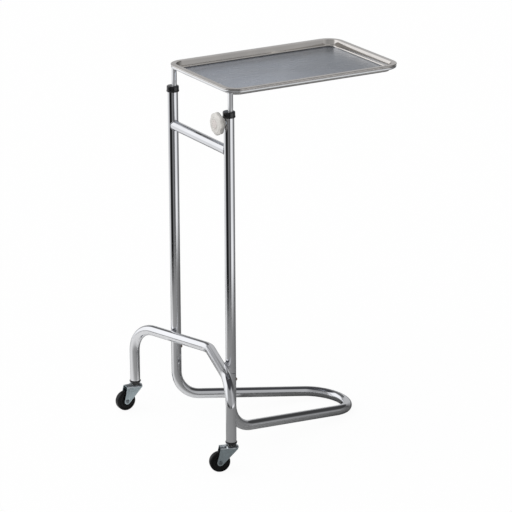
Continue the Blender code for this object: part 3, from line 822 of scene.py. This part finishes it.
def make_fork(name, leg, trail, wheel_radius, turn):
    """Pressed fork: a bent channel trimmed to its side view, with a dome round the stem."""
    node = f"caster_fork_{name}"
    inner = FORK_HALF - FORK_SHEET
    bend = FORK_ROUND - FORK_SHEET
    channel = [(FORK_HALF, 0.0), *shoulder(FORK_ROUND, 1), *shoulder(FORK_ROUND, -1)[::-1], (-FORK_HALF, 0.0)]
    channel += [(-inner, 0.0), *shoulder(bend, -1), *shoulder(bend, 1)[::-1], (inner, 0.0)]
    section = loft([[Vector((x, y, z)) for y, z in channel] for x in (-0.09, 0.05)])
    side = extruded(fork_outline(trail, wheel_radius), -0.05, 0.05)
    bmesh.ops.rotate(side, verts=side.verts, matrix=Matrix.Rotation(math.pi / 2, 3, "X"), cent=(0, 0, 0))
    dome = [
        (0.0112, 0.0644),
        (0.0146, 0.0630),
        (0.01635, 0.0610),
        (0.01635, 0.0590),
        (0.01790, 0.0590),
        (0.01790, 0.0614),
        (0.0170, 0.0629),
        (0.0152, 0.0646),
        (0.0126, 0.0660),
        (0.0112, 0.0660),
    ]
    seat = turned(softened(dome, 0.0005, 3, True), 64, True)
    crown = FORK_SHOULDER + FORK_ROUND
    hole = turned([(0.00535, crown - 0.01), (0.00535, crown + 0.01)], 40)
    axle_hole = aim(turned([(0.0033, -0.03), (0.0033, 0.03)], 32), (0, 1, 0))
    bmesh.ops.translate(axle_hole, verts=axle_hole.verts, vec=(-trail, 0, wheel_radius))
    steps = [("INTERSECT", side), ("UNION", seat), ("DIFFERENCE", hole), ("DIFFERENCE", axle_hole)]
    bm = combined(section, steps, 0.0003)
    place = (leg.x, leg.y, 0)
    body = f"caster_{name}"
    fork = add_piece(f"pressed_fork_{name}", bm, ZINC, body, [node], place, 30, turn)
    # Painted highlight: crown and dome faces turned up or down take the lighter zinc, a lit copy of the
    # fork's own plate.
    second_finish(fork, ZINC_LIGHT_AND_HIGHLIGHT, lambda centre, normal: centre.z > FORK_SHOULDER and abs(normal.z) > 0.15)


def make_axle(name, centre, turn):
    """Axle with a hollow riveted head on the right and a chamfered nut on the left."""
    node = f"caster_axle_{name}"
    left = 0.0161
    right = -0.0139
    seat = -0.0121
    head = 0.0051
    profile = [
        (0.0001, right + 0.0013),
        (0.0012, right + 0.0013),
        (0.0019, right + 0.0002),
        (0.0030, right),
        (head - 0.0006, right + 0.0006),
        (head, seat - 0.0004),
        (head, seat),
        (0.003, seat),
        (0.003, left - 0.0006),
        (0.0024, left),
        (0.0001, left),
    ]
    bm = aim(turned(softened(profile, 0.0004, 3), 40), (0, 1, 0))
    add_piece(f"axle_rivet_{name}", bm, ZINC_DARK, f"caster_{name}", [node], centre, turn=turn)
    node = f"caster_nut_{name}"
    near = 0.0121
    far = 0.0149
    rings = []
    for apothem, corner, y in (
        (0.00330, 0.00330, near),
        (0.00440, 0.00440, near),
        (0.00450, 0.00515, near + 0.0005),
        (0.00450, 0.00515, far - 0.0006),
        (0.00425, 0.00440, far),
        (0.00330, 0.00330, far),
    ):
        ring = []
        for i in range(48):
            angle = 2 * math.pi * i / 48
            off = (angle + math.pi / 6) % (math.pi / 3) - math.pi / 6
            reach = min(apothem / math.cos(off) if corner > apothem else apothem, corner)
            ring.append(Vector((reach * math.cos(angle), reach * math.sin(angle), y)))
        rings.append(ring)
    bm = aim(loft(rings, closed=True), (0, 1, 0))
    add_piece(f"axle_nut_{name}", bm, ZINC_LIGHT_AND_HIGHLIGHT, f"caster_{name}", [node], centre, turn=turn)


def make_wheel(name, centre, turn):
    """Moulded wheel: crowned tread with a parting line, dished flanks with a rib ring, and a hub."""
    node = f"caster_wheel_{name}"
    radius = (high_of(node).z - low_of(node).z) / 2
    hub = 0.0094
    half = 0.00875
    bore = 0.00615
    side = [
        (bore, hub),
        (0.0090, hub),
        (0.0096, hub - 0.0010),
        (0.0100, half - 0.0026),
        (0.0122, half - 0.0026),
        (0.0130, half - 0.0018),
        (0.0190, half - 0.0018),
        (0.0198, half - 0.0006),
        (0.0206, half),
        (0.0222, half),
        (0.0238, half - 0.0005),
        (0.0248, half - 0.0018),
        (0.0253, half - 0.0038),
        (radius, half - 0.0060),
        (radius, 0.0004),
    ]
    side = softened(side, 0.0006, 3)
    profile = side + [(radius - 0.0001, 0.0)] + [(r, -h) for r, h in reversed(side)]
    bm = aim(turned(profile, 96, True), (0, 1, 0))
    add_piece(f"wheel_{name}", bm, WHEEL_BLACK, f"wheel_{name}", [node], centre, turn=turn)


def make_casters():
    for name in SIDES:
        stem = middle(f"caster_stem_{name}")
        leg = Vector((stem.x, stem.y, 0))
        axle = middle(f"caster_wheel_{name}")
        back = Vector((leg.x - axle.x, leg.y - axle.y))
        turn = math.atan2(back.y, back.x)
        make_mounts(name, leg)
        make_fork(name, leg, back.length, axle.z, turn)
        make_axle(name, axle, turn)
        make_wheel(name, axle, turn)


def dress_inner_pieces():
    """Procedural finishes for the CAD nodes that stay."""
    finishes = {
        "coupler": ZINC,
        "rod_guide": NYLON,
        "caster_bearing": NYLON,
        "caster_bush": NYLON,
        "caster_stem": ZINC_LIGHT_AND_HIGHLIGHT,
    }
    for start, material in finishes.items():
        for name in SIDES:
            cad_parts[f"{start}_{name}"].material_slots[0].material = material
    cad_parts["clamp_pad"].material_slots[0].material = BRASS
    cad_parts["clamp_stud"].material_slots[0].material = ZINC_LIGHT_AND_HIGHLIGHT


# Studio

def make_floor():
    """Pale floor, and a grey reflection card just above it that only mirrors see."""
    mesh = bpy.data.meshes.new("floor")
    size = 40.0
    corners = [(-size, -size, 0), (size, -size, 0), (size, size, 0), (-size, size, 0)]
    mesh.from_pydata(corners, [], [(0, 1, 2, 3)])
    floor = bpy.data.objects.new("floor", mesh)
    bpy.context.scene.collection.objects.link(floor)
    floor.location.z = -0.0006
    paint = Nodes(bpy.data.materials.new("floor_white"))
    glow = paint.add("ShaderNodeEmission", {"Color": (1.0, 1.0, 1.0, 1.0), "Strength": 1.0})
    matt = paint.add("ShaderNodeBsdfDiffuse", {"Color": (1.0, 1.0, 1.0, 1.0)})
    mixed = paint.add("ShaderNodeMixShader", {0: 0.06, 1: glow.outputs[0], 2: matt.outputs[0]})
    output = paint.add("ShaderNodeOutputMaterial")
    paint.put(output.inputs["Surface"], mixed.outputs[0])
    mesh.materials.append(bpy.data.materials["floor_white"])
    floor.visible_glossy = False
    floor.visible_diffuse = False
    floor.visible_shadow = False

    card_bm = bmesh.new()
    bmesh.ops.create_circle(card_bm, cap_ends=True, segments=64, radius=3.0)
    card_mesh = bpy.data.meshes.new("floor_card")
    card_bm.to_mesh(card_mesh)
    card_bm.free()
    card = bpy.data.objects.new("floor_card", card_mesh)
    bpy.context.scene.collection.objects.link(card)
    card.location.z = 0.0001
    paint = Nodes(bpy.data.materials.new("card_grey"))
    spot = paint.add("ShaderNodeTexCoord").outputs["Object"]
    split = paint.add("ShaderNodeSeparateXYZ", {"Vector": spot})
    turn = paint.math("ARCTAN2", split.outputs["Y"], split.outputs["X"])
    share = paint.math("MULTIPLY_ADD", turn, 1 / (2 * math.pi), 0.5)
    # Painted light: the card's grey goes round by azimuth, lighter towards -X and darker towards +X, standing
    # in for the studio light on the floor.
    shade = paint.ramp(share, CARD_STOPS, "EASE")
    distance = paint.add("ShaderNodeVectorMath", {0: spot}, operation="LENGTH").outputs["Value"]
    clear = paint.range(distance, 0.9, 1.6, 0.0, 1.0, True)
    matt = paint.add("ShaderNodeBsdfDiffuse", {"Color": shade})
    gone = paint.add("ShaderNodeBsdfTransparent")
    mixed = paint.add("ShaderNodeMixShader", {0: clear, 1: matt.outputs[0], 2: gone.outputs[0]})
    output = paint.add("ShaderNodeOutputMaterial")
    paint.put(output.inputs["Surface"], mixed.outputs[0])
    card_mesh.materials.append(bpy.data.materials["card_grey"])
    card.visible_camera = False
    card.visible_diffuse = False
    card.visible_shadow = False


def around(*stops):
    """Ramp stops from (azimuth in degrees, grey), for arctan2 mapped from -180..180 to 0..1."""
    spots = sorted((((azimuth + 180) % 360) / 360, grey) for azimuth, grey in stops)
    first, last = spots[0], spots[-1]
    span = first[0] + 1 - last[0]
    seam = last[1] + (first[1] - last[1]) * (1 - last[0]) / span
    return [(0.0, seam), *spots, (1.0, seam)]


# Painted light on the reflection card, grey by azimuth round the stand.
CARD_STOPS = around(
    (0, 0.13), (60, 0.22), (91, 0.15), (120, 0.68), (149, 0.76), (180, 0.32), (240, 0.28), (270, 0.24),
    (300, 0.22), (340, 0.16),
)
LOW_STOPS = around(
    (60, 0.36), (110, 0.80), (140, 0.62), (154, 0.34), (163, 0.012), (208, 0.010), (215, 0.15), (232, 0.20),
    (245, 0.10), (262, 0.08), (272, 0.84), (312, 0.84), (328, 0.34), (350, 0.16), (20, 0.15), (40, 0.26),
)
HIGH_STOPS = around(
    (55, 0.10), (95, 0.15), (106, 1.0), (165, 1.0), (185, 0.30), (255, 0.28), (292, 0.46), (308, 0.44),
    (325, 0.07), (10, 0.04),
)
MID_STOPS = around(
    (25, 0.30), (40, 0.48), (80, 0.48), (92, 0.30), (106, 0.95), (165, 1.0), (185, 0.35), (255, 0.30),
    (290, 0.46), (335, 0.20), (8, 0.08),
)


def make_world():
    """Soft even light, and for mirrors a studio of soft boxes, dark gaps and a dark ceiling."""
    world = bpy.data.worlds.new("studio")
    bpy.context.scene.world = world
    world.cycles.sampling_method = "NONE"
    sky = Nodes(world)
    direction = sky.add("ShaderNodeTexCoord").outputs["Generated"]
    split = sky.add("ShaderNodeSeparateXYZ", {"Vector": direction})
    turn = sky.math("ARCTAN2", split.outputs["Y"], split.outputs["X"])
    share = sky.math("MULTIPLY_ADD", turn, 1 / (2 * math.pi), 0.5)
    low = sky.ramp(share, LOW_STOPS)
    high = sky.ramp(share, HIGH_STOPS)
    height = split.outputs["Z"]
    mid = sky.ramp(share, MID_STOPS)
    room = sky.mix(sky.range(height, -0.12, 0.06, 0.0, 1.0, True), low, mid)
    room = sky.mix(sky.range(height, 0.37, 0.43, 0.0, 1.0, True), room, high)
    room = sky.mix(sky.range(height, 0.74, 0.86, 0.0, 1.0, True), room, (0.05, 0.05, 0.055))
    room = sky.mix(0.35, room, sky.mix(1.0, room, (0.93, 0.95, 1.0), "MULTIPLY"))
    toward = {0: direction, 1: (-0.90, 0.10, 0.42)}
    facing = sky.add("ShaderNodeVectorMath", toward, operation="DOT_PRODUCT").outputs["Value"]
    soft = sky.range(facing, -0.4, 1.0, 0.15, 1.7)
    even = sky.add("ShaderNodeBackground", {"Color": (1.0, 1.0, 1.0, 1.0), "Strength": soft})
    studio = sky.add("ShaderNodeBackground", {"Color": room, "Strength": 1.0})
    glossy = sky.add("ShaderNodeLightPath").outputs["Is Glossy Ray"]
    mixed = sky.add("ShaderNodeMixShader", {0: glossy, 1: even.outputs[0], 2: studio.outputs[0]})
    output = sky.add("ShaderNodeOutputWorld")
    sky.put(output.inputs["Surface"], mixed.outputs[0])


def make_camera():
    """Long lens from the casters' side, a little above the tray."""
    turn = math.radians(-30.131)
    rise = math.radians(18.152)
    roll = math.radians(-0.279)
    back = Vector((math.sin(turn) * math.cos(rise), -math.cos(turn) * math.cos(rise), math.sin(rise)))
    right = Vector((math.cos(turn), math.sin(turn), 0))
    up = back.cross(right)
    rolled_right = right * math.cos(roll) + up * math.sin(roll)
    rolled_up = up * math.cos(roll) - right * math.sin(roll)
    data = bpy.data.cameras.new("camera")
    data.sensor_width = 36.0
    data.lens = 214.56
    data.clip_end = 200.0
    camera = bpy.data.objects.new("camera", data)
    bpy.context.scene.collection.objects.link(camera)
    rotation = Matrix((rolled_right, rolled_up, back)).transposed().to_4x4()
    camera.matrix_world = Matrix.Translation((POST_X - 3.44135, -6.19168, 2.78559)) @ rotation
    bpy.context.scene.camera = camera


make_posts()
make_caps()
make_crossbar()
make_base()
make_arch()
make_screws()
make_rods()
make_tray_frame()
make_tray()
make_knob()
make_casters()
dress_inner_pieces()
make_floor()
make_world()
make_camera()
bpy.context.scene.view_settings.view_transform = "Standard"
